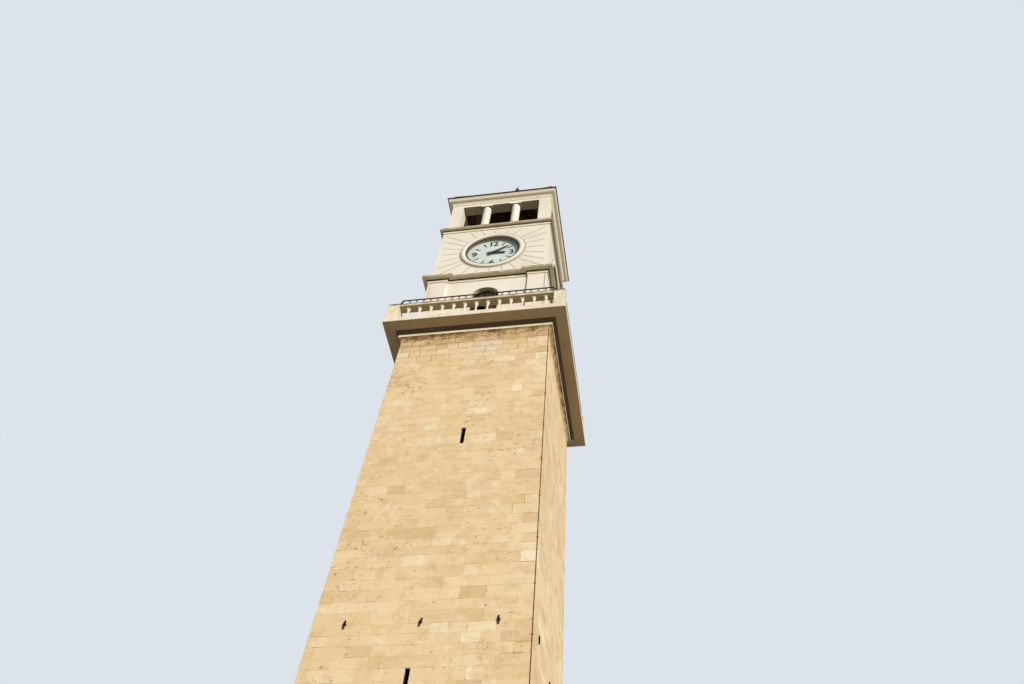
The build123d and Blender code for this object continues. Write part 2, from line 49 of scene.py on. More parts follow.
focal_pixels = 860
picture_width = 1024

look = Vector((sin(yaw) * cos(pitch), cos(yaw) * cos(pitch), sin(pitch)))
level_right = Vector((cos(yaw), -sin(yaw), 0))
level_up = level_right.cross(look)
camera_right = level_right * cos(roll) + level_up * sin(roll)
camera_up = level_up * cos(roll) - level_right * sin(roll)

bpy.ops.object.select_all(action="DESELECT")
bpy.ops.object.camera_add(location=eye)
camera = bpy.context.object
camera.name = "viewpoint"
camera.matrix_world = (Matrix.Translation(eye)
                       @ Matrix((camera_right, camera_up, -look)).transposed().to_4x4())
camera.data.sensor_width = 36
camera.data.lens = focal_pixels / picture_width * camera.data.sensor_width
camera.data.clip_end = 400
bpy.context.scene.camera = camera
bpy.context.scene.view_settings.view_transform = "Standard"


# Studio. A pale floor, a pale surround, and one broad low lamp from the right of the front, where
# the sun stood, so that the front and the right side are lit alike and the reveals are in shade.
def linear(hex_colour):
    """Linear RGBA of an sRGB hex colour such as "E8CFA0"."""
    values = [int(hex_colour[i:i + 2], 16) / 255 for i in (0, 2, 4)]
    return [v / 12.92 if v <= 0.04045 else ((v + 0.055) / 1.055) ** 2.4 for v in values] + [1]


def add_node(tree, kind, sockets=None, stops=(), **settings):
    """Adds a node with its properties, input values or links, and the stops of a colour ramp."""
    made = tree.nodes.new(kind)
    for name, value in settings.items():
        setattr(made, name, value)
    for name, value in (sockets or {}).items():
        socket = made.inputs[name]
        if isinstance(name, str):
            socket = next(s for s in made.inputs if s.enabled and s.name == name)
        if isinstance(value, bpy.types.Node):
            value = next(s for s in value.outputs if s.enabled)
        if isinstance(value, bpy.types.NodeSocket):
            tree.links.new(value, socket)
        else:
            socket.default_value = linear(value) if isinstance(value, str) else value
    for number, (position, hex_colour) in enumerate(stops):
        elements = made.color_ramp.elements
        element = elements[number] if number < 2 else elements.new(position)
        element.position = position
        element.color = linear(hex_colour)
    return made


surround = bpy.data.worlds.new("pale_surround")
bpy.context.scene.world = surround
surround.use_nodes = True
tree = surround.node_tree
tree.nodes.clear()
ray = add_node(tree, "ShaderNodeLightPath")
sharp_ray = add_node(tree, "ShaderNodeMath", {
    0: ray.outputs["Is Camera Ray"], 1: ray.outputs["Is Glossy Ray"]}, operation="MAXIMUM")
fill = add_node(tree, "ShaderNodeBackground", {"Color": "E9EDF2", "Strength": 0.31})
seen = add_node(tree, "ShaderNodeBackground", {"Color": "DDE3EA", "Strength": 1.0})
mixed = add_node(tree, "ShaderNodeMixShader", {0: sharp_ray, 1: fill, 2: seen})
add_node(tree, "ShaderNodeOutputWorld", {"Surface": mixed})

floor_radius = 90
floor_drop = 0.002           # below the tower's foot, so that no two faces lie in one plane
bpy.ops.mesh.primitive_circle_add(
    vertices=96, radius=floor_radius, fill_type="NGON", location=(0, 0, -floor_drop))
studio_floor = bpy.context.object
studio_floor.name = "studio_floor"
paint = bpy.data.materials.new("matt_floor_paint")
paint.use_nodes = True
floor_shader = paint.node_tree.nodes["Principled BSDF"]
floor_shader.inputs["Base Color"].default_value = linear("D8D8D6")
floor_shader.inputs["Roughness"].default_value = 0.9
studio_floor.data.materials.append(paint)

towards_sun = Vector((1, -1.05, 0.38))
bpy.ops.object.light_add(type="SUN")
low_sun = bpy.context.object
low_sun.name = "low_sun"
low_sun.data.energy = 3.15
low_sun.data.color = (1.0, 0.96, 0.90)
low_sun.data.angle = radians(6)
low_sun.rotation_euler = towards_sun.to_track_quat("Z", "Y").to_euler()


# Shaft. Squared limestone in courses of about 27 cm, laid with thin joints over a solid wall. Big
# quoins turn each corner, long on one side and short on the other, course about. The faces batter
# inwards, and the courses meet the heads and sills of the slit windows.
def start_material(name, roughness):
    """A new material: its tree, its shader, and where on the tower each point lies, in metres."""
    material = bpy.data.materials.new(name)
    material.use_nodes = True
    tree = material.node_tree
    shader = tree.nodes["Principled BSDF"]
    shader.inputs["Roughness"].default_value = roughness
    shader.inputs["Specular IOR Level"].default_value = 0.3
    return material, tree, shader, add_node(tree, "ShaderNodeTexCoord").outputs["Object"]


def lay_shades(tree, colour, layers):
    """Lays shades over a colour in turn. Each layer has a value, the level at which it starts, the
    level at which it is at its strongest, how strong it is there, and its shade."""
    for value, start, full, strength, shade in layers:
        mask = add_node(tree, "ShaderNodeMapRange", {
            "Value": value, "From Min": start, "From Max": full, "To Max": strength})
        colour = add_node(tree, "ShaderNodeMix", {"Factor": mask, "A": colour, "B": shade},
                          data_type="RGBA").outputs[2]
    return colour


def finish_material(tree, shader, colour, relief, depth, strength):
    """Gives a shader its colour and its fine relief."""
    tree.links.new(colour, shader.inputs["Base Color"])
    bump = add_node(tree, "ShaderNodeBump", {
        "Height": relief, "Distance": depth, "Strength": strength})
    tree.links.new(bump.outputs[0], shader.inputs["Normal"])


# Dressed limestone, sawn and lightly tooled: warm buff, dull, with shallow pits along its bedding.
# Clouds of colour are 1.5 m across, mottling 15 cm, pits 6 cm long and the grain 2.5 cm, which is
# coarser than the real one so that it shows. Just under the crown it is stained brown. Here and
# below, the scale of a noise is 0.5 over the size of its patches in metres.
shaft_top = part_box("shaft_front_wall")[1].z
dressed_limestone, tree, shader, place = start_material("dressed_limestone", 0.88)
tone = add_node(tree, "ShaderNodeAttribute", attribute_name="tone").outputs["Fac"]
colour = add_node(tree, "ShaderNodeValToRGB", {"Fac": tone}, stops=(
    (0.0, "DDBE90"), (1.0, "EBDFC8"), (0.20, "EBCFA1"), (0.36, "F1DAAE"), (0.50, "F8E8C4"),
    (0.60, "E0C18F"), (0.80, "C9A470"), (0.90, "E6D6B5")))
clouds = add_node(tree, "ShaderNodeTexNoise", {"Vector": place, "Scale": 0.5 / 1.5, "Detail": 4})
bedded = add_node(tree, "ShaderNodeMapping", {"Vector": place, "Scale": (1, 1, 1.3)})
mottle = add_node(tree, "ShaderNodeTexNoise", {
    "Vector": bedded, "Scale": 0.5 / 0.15, "Detail": 7, "Roughness": 0.65})
bleach = add_node(tree, "ShaderNodeTexNoise", {
    "Vector": bedded, "Scale": 0.5 / 0.22, "Detail": 7, "Roughness": 0.65})
flattened = add_node(tree, "ShaderNodeMapping", {"Vector": place, "Scale": (1, 1, 1.6)})
pits = add_node(tree, "ShaderNodeTexNoise", {
    "Vector": flattened, "Scale": 0.5 / 0.065, "Detail": 5, "Roughness": 0.7})
eroded = add_node(tree, "ShaderNodeTexNoise", {"Vector": place, "Scale": 0.5 / 0.7, "Detail": 3})
pits = add_node(tree, "ShaderNodeMath", {0: eroded, 1: 0.30, 2: pits}, operation="MULTIPLY_ADD")
pitted = add_node(tree, "ShaderNodeMapRange", {
    "Value": pits, "From Min": 0.785, "From Max": 0.845, "To Max": 0.7})
height = add_node(tree, "ShaderNodeSeparateXYZ", {"Vector": place}).outputs["Z"]
near_top = add_node(tree, "ShaderNodeMapRange", {
    "Value": height, "From Min": shaft_top - 0.45, "From Max": shaft_top, "To Max": 0.75})
patchy = add_node(tree, "ShaderNodeMapRange", {
    "Value": mottle, "From Min": 0.42, "From Max": 0.60})
stained = add_node(tree, "ShaderNodeMath", {0: near_top, 1: patchy}, operation="MULTIPLY")
colour = lay_shades(tree, colour, (
    (clouds, 0.35, 0.75, 0.45, "DDBC8C"), (mottle, 0.49, 0.70, 0.55, "CFAC78"),
    (bleach, 0.54, 0.74, 0.65, "F9EDCD"), (pitted, 0, 1, 1, "7A5C38"),
    (stained, 0, 1, 1, "94703F")))
grain = add_node(tree, "ShaderNodeTexNoise", {
    "Vector": bedded, "Scale": 0.5 / 0.025, "Detail": 6, "Roughness": 0.7})
relief = add_node(tree, "ShaderNodeMath", {0: grain, 1: pitted}, operation="SUBTRACT")
finish_material(tree, shader, colour, relief, 0.0035, 0.8)


def out_from_middle(tree, place, which):
    """The greater or the smaller of a point's distances from the tower's two middle planes."""
    across = add_node(tree, "ShaderNodeSeparateXYZ", {
        "Vector": add_node(tree, "ShaderNodeVectorMath", {0: place}, operation="ABSOLUTE")})
    return add_node(tree, "ShaderNodeMath", {0: across.outputs["X"], 1: across.outputs["Y"]},
                    operation=which)


# Lime pointing: about the colour of the stone and nearly flush with it, and dark where it has
# dropped out of the joint, most of all in the top courses. The reveals of the slits are painted
# near black, as painted shade inside them.
foot_half = -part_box("shaft_front_wall")[0].y
head_half = 2.125            # half the width of the shaft at its top
batter = (foot_half - head_half) / shaft_top
reveal_depth = 0.032         # from where on the inside of an opening isn't pointed
over_entrance = 3.0          # above the ground, where only slits are cut
lime_pointing, tree, shader, place = start_material("lime_pointing", 0.95)
height = add_node(tree, "ShaderNodeSeparateXYZ", {"Vector": place}).outputs["Z"]
near_top = add_node(tree, "ShaderNodeMapRange", {
    "Value": height, "From Min": shaft_top - 1.3, "From Max": shaft_top - 0.4, "To Max": 0.17})
flattened = add_node(tree, "ShaderNodeMapping", {"Vector": place, "Scale": (1, 1, 2.3)})
lost = add_node(tree, "ShaderNodeTexNoise", {
    "Vector": flattened, "Scale": 0.5 / 0.30, "Detail": 5, "Roughness": 0.7})
lost = add_node(tree, "ShaderNodeMath", {0: lost, 1: near_top}, operation="ADD")
colour = add_node(tree, "ShaderNodeValToRGB", {"Fac": lost}, stops=(
    (0.0, "F0DFB6"), (0.70, "3A2818"), (0.54, "E3CDA0"), (0.61, "94744C")))
reach = out_from_middle(tree, place, "MAXIMUM")
unleaned = add_node(tree, "ShaderNodeMath", {0: height, 1: batter, 2: reach},
                    operation="MULTIPLY_ADD")
inside = add_node(tree, "ShaderNodeMath", {0: unleaned, 1: foot_half - reveal_depth},
                  operation="LESS_THAN")
high_up = add_node(tree, "ShaderNodeMath", {0: height, 1: over_entrance},
                   operation="GREATER_THAN")
# The reveals of the slits, high above the entrance, are painted near black as painted shade.
slit_painted_shade = add_node(tree, "ShaderNodeMath", {0: inside, 1: high_up}, operation="MULTIPLY")
colour = lay_shades(tree, colour, ((inside, 0, 1, 1, "E3CDA0"), (slit_painted_shade, 0, 1, 1, "241A11")))
tree.links.new(colour, shader.inputs["Base Color"])


def fix_to_tower(piece, material):
    """Gives a finished piece its material and fixes it to the tower."""
    piece.data.materials.clear()
    piece.data.materials.append(material)
    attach(piece, "tower")


def coat(names, material):
    """Puts a material on CAD nodes."""
    for name in names:
        nodes[name].data.materials.clear()
        nodes[name].data.materials.append(material)


def join_pieces(pieces, name):
    """Joins copies into one mesh whose object stands at the origin."""
    bpy.ops.object.select_all(action="DESELECT")
    for piece in pieces:
        piece.select_set(True)
    bpy.context.view_layer.objects.active = pieces[0]
    bpy.ops.object.join()
    joined = bpy.context.object
    bpy.ops.object.transform_apply(location=True, rotation=True, scale=True)
    joined.name = name
    joined.data.name = name
    return joined


def lay_copy(pattern, matrix):
    """Another piece from the same pattern, with its own mesh."""
    mesh = pattern.data.copy()
    mesh.transform(matrix)
    copy = bpy.data.objects.new(pattern.name, mesh)
    bpy.context.collection.objects.link(copy)
    return copy


def start_pattern(name, add_primitive, **sizes):
    """Starts a pattern piece from a primitive, with nothing else selected."""
    bpy.ops.object.select_all(action="DESELECT")
    add_primitive(**sizes)
    bpy.context.object.name = name
    return bpy.context.object


def turn_to(side):
    """The turn from the front to another side of the tower."""
    return Matrix.Rotation(side * pi / 2, 4, "Z")


side_names = ("front", "right", "back", "left")
slit_half_width = 0.050
slit_half_height = 0.280
slit_places = ((0.175, -17.410), (-0.080, -10.800), (0.175, -4.190))     # from the middle of the top
entrance_radius = 0.500
entrance_spring = 1.700
voussoir_depth = 0.300
course_height = 0.265
stone_length = 0.45
joint_width = 0.007
open_joint_width = 0.013
open_joint_depth = 1.15      # below the top of the shaft, where rain has washed the joints out
stone_stand = 0.004
skin_depth = 0.030
long_quoin = 0.60
short_quoin = 0.34
arris_share = 0.014          # of a stone's size, worn off each edge
new_stone_depths = (0.32, 0.90)      # below the top of the shaft, in front
new_stone_reach = (-0.10, 1.0)       # to each side of the middle

dressed_stone = start_pattern("dressed_stone", bpy.ops.mesh.primitive_cube_add, size=1)
bpy.ops.object.mode_set(mode="EDIT")
bpy.ops.mesh.bevel(offset=arris_share, segments=1, affect="EDGES")
bpy.ops.object.mode_set(mode="OBJECT")

mason = Random(11)
bed_levels = [0.0]
for _, drop in slit_places:
    bed_levels += [shaft_top + drop - slit_half_height, shaft_top + drop + slit_half_height]
bed_levels.append(shaft_top)
courses = []
for low, high in zip(bed_levels, bed_levels[1:]):
    rises = [mason.uniform(0.84, 1.16) for _ in range(round((high - low) / course_height))]
    level = low
    for rise in rises:
        step = (high - low) * rise / sum(rises)
        courses.append((level, level + step))
        level += step


def wall_half(z):
    """Half the width of the shaft at a height."""
    return foot_half - batter * z


def stone_tone(side, x, z):
    """The usual run of colours lies from 0 to 0.5, browned stones from 0.58 to 0.74, and the new
    ones of a patch near the top of the front from 0.86 to 1."""
    depth = shaft_top - z
    if (side == 0 and new_stone_depths[0] < depth < new_stone_depths[1]
            and new_stone_reach[0] < x < new_stone_reach[1]):
        return mason.uniform(0.86, 1.0)
    if depth < 0.30 or (depth < 0.60 and mason.random() < 0.35):
        return mason.uniform(0.58, 0.74)
    spread = 0.17 if mason.random() < 0.30 else 0.07
    return min(0.5, max(0.0, mason.gauss(0.27, spread)))


def mark_tone(stone, tone):
    """Writes a stone's tone into its mesh, where its material reads it."""
    mark = stone.data.attributes.new("tone", "FLOAT", "POINT")
    mark.data.foreach_set("value", [tone] * len(stone.data.vertices))


def lay_stone(low, high, side, tone):
    """A stone between two corners, on one side of the tower."""
    size = [b - a for a, b in zip(low, high)]
    middle = [(a + b) / 2 for a, b in zip(low, high)]
    stone = lay_copy(dressed_stone, turn_to(side) @ Matrix.Translation(middle)
                     @ Matrix.Diagonal((*size, 1)))
    mark_tone(stone, tone)
    return stone


def course_gaps(side, low, high):
    """Stretches of a course that a slit window or the entrance takes."""
    gaps = []
    for x, drop in slit_places:
        if side in (0, 2) and abs((low + high) / 2 - shaft_top - drop) < slit_half_height:
            gaps.append((x - slit_half_width, x + slit_half_width))
    rise = max(0, high - entrance_spring)
    if side == 0 and rise == 0:
        gaps.append((-entrance_radius, entrance_radius))
    elif side == 0 and rise < entrance_radius + voussoir_depth:
        reach = sqrt((entrance_radius + voussoir_depth) ** 2 - rise ** 2)
        gaps.append((-reach, reach))
    return gaps


for side, side_name in enumerate(side_names):
    stones = []
    for number, (low, high) in enumerate(courses):
        half = wall_half((low + high) / 2)
        face = half + stone_stand
        joint = joint_width if shaft_top - low > open_joint_depth else open_joint_width
        bottom, top = low + joint / 2, high - joint / 2
        quoin, quoin_return = long_quoin, short_quoin
        if (number + side) % 2:
            quoin, quoin_return = quoin_return, quoin
        stones.append(lay_stone(
            (-face, -face, bottom), (quoin - half, quoin_return - half, top),
            side, stone_tone(side, -half, low)))
        stops = [quoin - half + joint / 2]
        for a, b in course_gaps(side, low, high):
            stops += [a - joint / 2, b + joint / 2]
        stops.append(half - quoin - joint / 2)
        for a, b in zip(stops[::2], stops[1::2]):
            widths = [mason.uniform(0.6, 1.4) for _ in range(max(1, round((b - a) / stone_length)))]
            x = a
            for width in widths:
                length = (b - a) * width / sum(widths)
                stand = stone_stand + mason.uniform(-0.0012, 0.0012)
                stones.append(lay_stone(
                    (x + joint / 2, -half - stand, bottom),
                    (x + length - joint / 2, skin_depth - half, top),
                    side, stone_tone(side, x + length / 2, low)))
                x += length
    fix_to_tower(join_pieces(stones, f"{side_name}_ashlar"), dressed_limestone)
bpy.data.objects.remove(dressed_stone)
coat([f"shaft_{side_name}_wall" for side_name in side_names], lime_pointing)


# Entrance arch. Eleven wedge-shaped stones stand round the head of the doorway, a little proud of
# the courses.
def pick_faces(piece, chosen):
    """Goes into edit mode with only those faces selected whose middle and normal pass a test."""
    bpy.context.tool_settings.mesh_select_mode = (False, False, True)
    bpy.ops.object.mode_set(mode="EDIT")
    bpy.ops.mesh.select_all(action="DESELECT")
    bpy.ops.object.mode_set(mode="OBJECT")
    for face in piece.data.polygons:
        face.select = chosen(face.center, face.normal)
    bpy.ops.object.mode_set(mode="EDIT")


voussoir_count = 11
voussoir_stand = 0.012
voussoir_length = 0.060
voussoir_arris = 0.005
wedge = pi / voussoir_count
outer_width = 2 * (entrance_radius + voussoir_depth) * sin(wedge / 2) - joint_width
inner_width = 2 * entrance_radius * sin(wedge / 2) - joint_width
voussoir = start_pattern(
    "voussoir", bpy.ops.mesh.primitive_cube_add, size=1,
    scale=(outer_width, voussoir_length, voussoir_depth),
    location=(0, 0, entrance_radius + voussoir_depth / 2))
bpy.ops.object.transform_apply(location=True, scale=True)
pick_faces(voussoir, lambda middle, normal: normal.z < -0.5)
bpy.ops.transform.resize(value=(inner_width / outer_width, 1, 1))
bpy.ops.mesh.select_all(action="SELECT")
bpy.ops.mesh.bevel(offset=voussoir_arris, segments=1, affect="EDGES")
bpy.ops.object.mode_set(mode="OBJECT")
arch_face = wall_half(entrance_spring) + voussoir_stand
at_spring = Matrix.Translation((0, voussoir_length / 2 - arch_face, entrance_spring))
arch_stones = []
for number in range(voussoir_count):
    lean = pi / 2 - wedge * (number + 0.5)
    stone = lay_copy(voussoir, at_spring @ Matrix.Rotation(lean, 4, "Y"))
    mark_tone(stone, mason.uniform(0.15, 0.45))
    arch_stones.append(stone)
bpy.data.objects.remove(voussoir)
fix_to_tower(join_pieces(arch_stones, "entrance_voussoirs"), dressed_limestone)


# Lightning conductor: a flat copper strip gone dark brown, held against the front right arris of
# the shaft by a clip every metre or so. It shows as one thin dark line from the crown down.
def mottled(name, roughness, patch, shades, detail=5, gloss=0.3):
    """A material that wanders between shades, in patches of about that size in metres."""
    material, tree, shader, place = start_material(name, roughness)
    shader.inputs["Specular IOR Level"].default_value = gloss
    wander = add_node(tree, "ShaderNodeTexNoise", {
        "Vector": place, "Scale": 0.5 / patch, "Detail": detail})
    colour = add_node(tree, "ShaderNodeValToRGB", {"Fac": wander}, stops=shades)
    tree.links.new(colour.outputs[0], shader.inputs["Base Color"])
    return material


dark_copper = mottled("oxidised_copper_strip", 0.6, 0.08, (
    (0.30, "3A281A"), (0.75, "7C5C3E"), (0.52, "5A412C")))

strip_width = 0.018
strip_stand = 0.006
strip_foot = 0.10            # above the ground, where the strip goes into the wall
clip_width = 0.040
clip_height = 0.030
clip_stand = 0.012
clip_spacing = 1.18
clip_arris_share = 0.18      # of a clip's size, rounded off each edge

conductor = start_pattern(
    "conductor", bpy.ops.mesh.primitive_cube_add, size=1,
    scale=(strip_width, stone_stand + strip_stand, shaft_top - strip_foot),
    location=(foot_half - strip_width / 2,
              (strip_stand - stone_stand) / 2 - foot_half - strip_stand,
              (shaft_top + strip_foot) / 2))
bpy.ops.object.transform_apply(location=True, scale=True)
pick_faces(conductor, lambda middle, normal: normal.z > 0.5)
bpy.ops.transform.translate(value=(head_half - foot_half, foot_half - head_half, 0))
bpy.ops.object.mode_set(mode="OBJECT")
clip = start_pattern("clip", bpy.ops.mesh.primitive_cube_add, size=1)
bpy.ops.object.mode_set(mode="EDIT")
bpy.ops.mesh.bevel(offset=clip_arris_share, segments=1, affect="EDGES")
bpy.ops.object.mode_set(mode="OBJECT")
clip_count = int((shaft_top - strip_foot) / clip_spacing)
clips = []
for number in range(clip_count):
    level = strip_foot + clip_spacing * (number + 0.5)
    half = wall_half(level)
    on_strip = Matrix.Translation((half - strip_width / 2, -half - clip_stand / 2, level))
    clips.append(lay_copy(
        clip, on_strip @ Matrix.Diagonal((clip_width, clip_stand, clip_height, 1))))
bpy.data.objects.remove(clip)
fix_to_tower(join_pieces([conductor] + clips, "lightning_conductor"), dark_copper)

# Wall ties: forged iron bars over a boss, which hold rods through the walls. They are black with
# old paint and soot, dull, and brown with rust in a few spots.
tie_spot = 1 / 28            # about the size of a spot of rust
coat(["tie_anchors"], mottled("sooty_forged_iron", 0.8, tie_spot, (
    (0.4, "100E0C"), (0.75, "2A1B12")), detail=2, gloss=0.2))

# Ground floor: grey flagstones bedded in mortar inside the shaft, worn smooth, with joints that
# have gone dark.
flagstone, tree, shader, place = start_material("worn_flagstone", 0.8)
flags = add_node(tree, "ShaderNodeTexBrick", {
    "Vector": place, "Color1": "9C9384", "Color2": "ABA290", "Mortar": "5E574C", "Scale": 1.0,
    "Mortar Size": 0.006, "Brick Width": 0.6, "Row Height": 0.45})
tree.links.new(flags.outputs["Color"], shader.inputs["Base Color"])
coat(["ground_floor"], flagstone)


# Moulded limestone of the crown, the balcony and the cornices: fine-sawn, cream where the rain
# washes it, grey-brown on its tops where dirt lies and painted a darker tan underneath as painted
# shade, with thin joints one to two metres apart and streaks that run down from each edge.
def facing_up(tree):
    """How far a face looks up: 1 on a level top, 0 on an upright face, -1 on an underside."""
    normal = add_node(tree, "ShaderNodeNewGeometry").outputs["Normal"]
    return add_node(tree, "ShaderNodeSeparateXYZ", {"Vector": normal}).outputs["Z"]


def from_joint(tree, place, spacing):
    """How far a point lies from the nearest upright joint, with a joint each so many metres."""
    along = add_node(tree, "ShaderNodeVectorMath", {0: place, 1: (1, 1, 0)},
                     operation="DOT_PRODUCT").outputs["Value"]
    return add_node(tree, "ShaderNodeMath", {0: along, 1: spacing / 2}, operation="PINGPONG")


def carved_stone(name, washed, top_dirt, shade_below, dirt, upright_joints=0, bed_joints=(0, 0),
                 dirty_edge=0, painted_shade_bands=()):
    """Limestone that takes dirt on its tops and a painted shade on its undersides, by which way it
    faces; the shade below also colours blotches of dirt. It has upright joints so far apart, or bed
    joints from a height on and so far apart. A dirty edge is the height of a top edge below which
    old dirt clings. A painted shade band has its middle, half its height, how strong it is and its
    colour."""
    material, tree, shader, place = start_material(name, 0.85)
    height = add_node(tree, "ShaderNodeSeparateXYZ", {"Vector": place}).outputs["Z"]
    facing = facing_up(tree)
    streaked = add_node(tree, "ShaderNodeMapping", {"Vector": place, "Scale": (1, 1, 0.12)})
    runs = add_node(tree, "ShaderNodeTexNoise", {
        "Vector": streaked, "Scale": 0.5 / 0.07, "Detail": 5, "Roughness": 0.6})
    blotches = add_node(tree, "ShaderNodeTexNoise", {
        "Vector": place, "Scale": 0.5 / 0.35, "Detail": 6, "Roughness": 0.65})
    layers = [(runs, 0.50, 0.72, dirt, top_dirt), (blotches, 0.48, 0.70, dirt, shade_below)]
    if dirty_edge:
        spots = add_node(tree, "ShaderNodeTexNoise", {
            "Vector": place, "Scale": 0.5 / 0.10, "Detail": 5, "Roughness": 0.6})
        ragged = add_node(tree, "ShaderNodeMath", {0: spots, 1: 0.16, 2: height},
                          operation="MULTIPLY_ADD")
        layers += [(ragged, dirty_edge + 0.010, dirty_edge + 0.040, 0.65, "86754F"),
                   (ragged, dirty_edge + 0.062, dirty_edge + 0.078, 0.8, "40362A")]
    # Tops take dirt; undersides take a painted shade.
    layers += [(facing, 0.35, 0.80, 0.85, top_dirt), (facing, -0.35, -0.80, 0.9, shade_below)]
    for middle, half_height, strength, shade in painted_shade_bands:
        band = add_node(tree, "ShaderNodeMath", {0: height, 1: middle, 2: half_height},
                        operation="COMPARE")
        layers.append((band, 0, 1, strength, shade))
    if upright_joints:
        layers.append((from_joint(tree, place, upright_joints), 0.007, 0.003, 0.6, "6E5A3E"))
    if bed_joints[1]:
        level = add_node(tree, "ShaderNodeMath", {0: height, 1: bed_joints[0]},
                         operation="SUBTRACT")
        from_bed = add_node(tree, "ShaderNodeMath", {0: level, 1: bed_joints[1] / 2},
                            operation="PINGPONG")
        layers.append((from_bed, 0.009, 0.004, 0.7, "7A6547"))
    grain = add_node(tree, "ShaderNodeTexNoise", {
        "Vector": place, "Scale": 0.5 / 0.02, "Detail": 6, "Roughness": 0.7})
    finish_material(tree, shader, lay_shades(tree, washed, layers), grain, 0.002, 0.6)
    return material


# Crown of the shaft: a worn cavetto in short stones, black in its joints, under a broad fillet
# that rain keeps clean. The cove above it, the soffit that carries the slab and the drip at its edge
# are painted dark, as painted shade. The levels at which its mouldings end are metres above the top
# of the shaft.
banded_height = 0.4
cavetto_top = 0.129
fillet_top = 0.2205
cove_top = 0.338
drip_top = 0.3495
crown_stone_length = 0.48
weathered_and_shaded_stone, tree, shader, place = start_material("weathered_and_shaded_crown_stone", 0.88)
height = add_node(tree, "ShaderNodeSeparateXYZ", {"Vector": place}).outputs["Z"]
level = add_node(tree, "ShaderNodeMath", {0: height, 1: shaft_top}, operation="SUBTRACT")
bands = add_node(tree, "ShaderNodeMapRange", {"Value": level, "From Max": banded_height})
# The darker shades on the cove, the soffit and the drip are painted shade.
moulded = add_node(tree, "ShaderNodeValToRGB", {"Fac": bands}, stops=(
    (0.0, "D9BB87"), (1.0, "54432F"), (cavetto_top / banded_height, "F7E8C4"),
    (fillet_top / banded_height, "5B4832"), (cove_top / banded_height, "A8926F"),
    (drip_top / banded_height, "54432F")))
moulded.color_ramp.interpolation = "CONSTANT"
bedded = add_node(tree, "ShaderNodeMapping", {"Vector": place, "Scale": (1, 1, 3)})
crust = add_node(tree, "ShaderNodeTexNoise", {
    "Vector": bedded, "Scale": 0.5 / 0.16, "Detail": 7, "Roughness": 0.65})
soot = add_node(tree, "ShaderNodeTexNoise", {
    "Vector": place, "Scale": 0.5 / 0.5, "Detail": 6, "Roughness": 0.6})
in_cavetto = add_node(tree, "ShaderNodeMath", {0: level, 1: cavetto_top - 0.001},
                      operation="LESS_THAN")
wear = []
for value, start, full, strength, shade in (
        (crust, 0.45, 0.58, 0.85, "7E5A32"),
        (from_joint(tree, place, crown_stone_length), 0.014, 0.007, 0.9, "3A2815")):
    worn = add_node(tree, "ShaderNodeMapRange", {
        "Value": value, "From Min": start, "From Max": full, "To Max": strength})
    worn = add_node(tree, "ShaderNodeMath", {0: worn, 1: in_cavetto}, operation="MULTIPLY")
    wear.append((worn, 0, 1, 1, shade))
colour = lay_shades(tree, moulded, (*wear, (soot, 0.45, 0.75, 0.35, "7C6748")))
finish_material(tree, shader, colour, crust, 0.006, 0.8)
coat(["shaft_crown"], weathered_and_shaded_stone)

# Balcony: slab, kerb, pedestals and copings, of the same limestone in larger blocks. The slab has
# a painted shadow line along its lower edge.
slab_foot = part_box("balcony_slab")[0].z
coping_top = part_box("balustrade_copings")[1].z
pedestal_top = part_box("corner_pedestals")[1].z
coat(["balcony_slab"], carved_stone(
    "slab_limestone", "F3E7CB", "CDBB95", "B29C78", 0.4, upright_joints=1.20,
    painted_shade_bands=((slab_foot + 0.006, 0.005, 0.7, "5A4A35"),)))
coat(["balustrade_copings"], carved_stone(
    "coping_limestone", "F0E4C8", "BCA984", "A8926F", 0.5, upright_joints=1.50,
    dirty_edge=coping_top))
coat(["corner_pedestals"], carved_stone(
    "pedestal_limestone", "F1E5C9", "C0AA80", "A8926F", 0.45, dirty_edge=pedestal_top - 0.03))

# Balusters: each turned from one block of limestone and bedded between the kerb and the coping,
# cream with little dirt.
coat([f"{side_name}_balusters" for side_name in side_names],
     carved_stone("turned_limestone", "F4EAD3", "D0BF9B", "B7A27B", 0.3))

# Safety rail: welded iron bars with an oval ring set in each bay and a flat capping bar on top,
# painted nearly black and rusting through in places.
rusting_iron = mottled("painted_wrought_iron", 0.55, 0.05, (
    (0.0, "24221F"), (0.72, "6A4128"), (0.55, "2C2823"), (0.62, "45301F")), gloss=0.5)
coat([f"{side_name}_railing" for side_name in side_names], rusting_iron)

rail_line = 2.550            # from the tower's middle to each straight run
rail_straight = 2.240        # half the length of a run in front, up to the cut corner
side_rail_gap = 0.064        # by which the runs on the other two sides end short of that
rail_cells = 21
corner_cells = 2
bar_size = 0.012
ring_wire = 0.005            # half its thickness
cap_width = 0.040
cap_height = 0.009
rail_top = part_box("front_railing")[1].z
cell_bottom = coping_top + 0.040
cell_top = rail_top - 0.010


def dress_rail(start, end, cells, side):
    """An oval ring in each cell of a straight run of rail and a flat capping bar along its top."""
    start, end = Vector((*start, 0)), Vector((*end, 0))
    step = (end - start) / cells
    width = (step.length - bar_size) / 2 - ring_wire
    height = (cell_top - cell_bottom) / 2 - ring_wire
    along_run = Matrix.Rotation(atan2(step.y, step.x), 4, "Z")
    middle = (start + end) / 2
    middle.z = rail_top - cap_height / 2
    dressing = [lay_copy(
        rail_cap, turn_to(side) @ Matrix.Translation(middle) @ along_run
        @ Matrix.Diagonal(((end - start).length, 1, 1, 1)))]
    for number in range(cells):
        centre = start + step * (number + 0.5)
        centre.z = (cell_bottom + cell_top) / 2
        dressing.append(lay_copy(
            rail_ring, turn_to(side) @ Matrix.Translation(centre) @ along_run
            @ Matrix.Diagonal((width, 1, height, 1))))
    return dressing


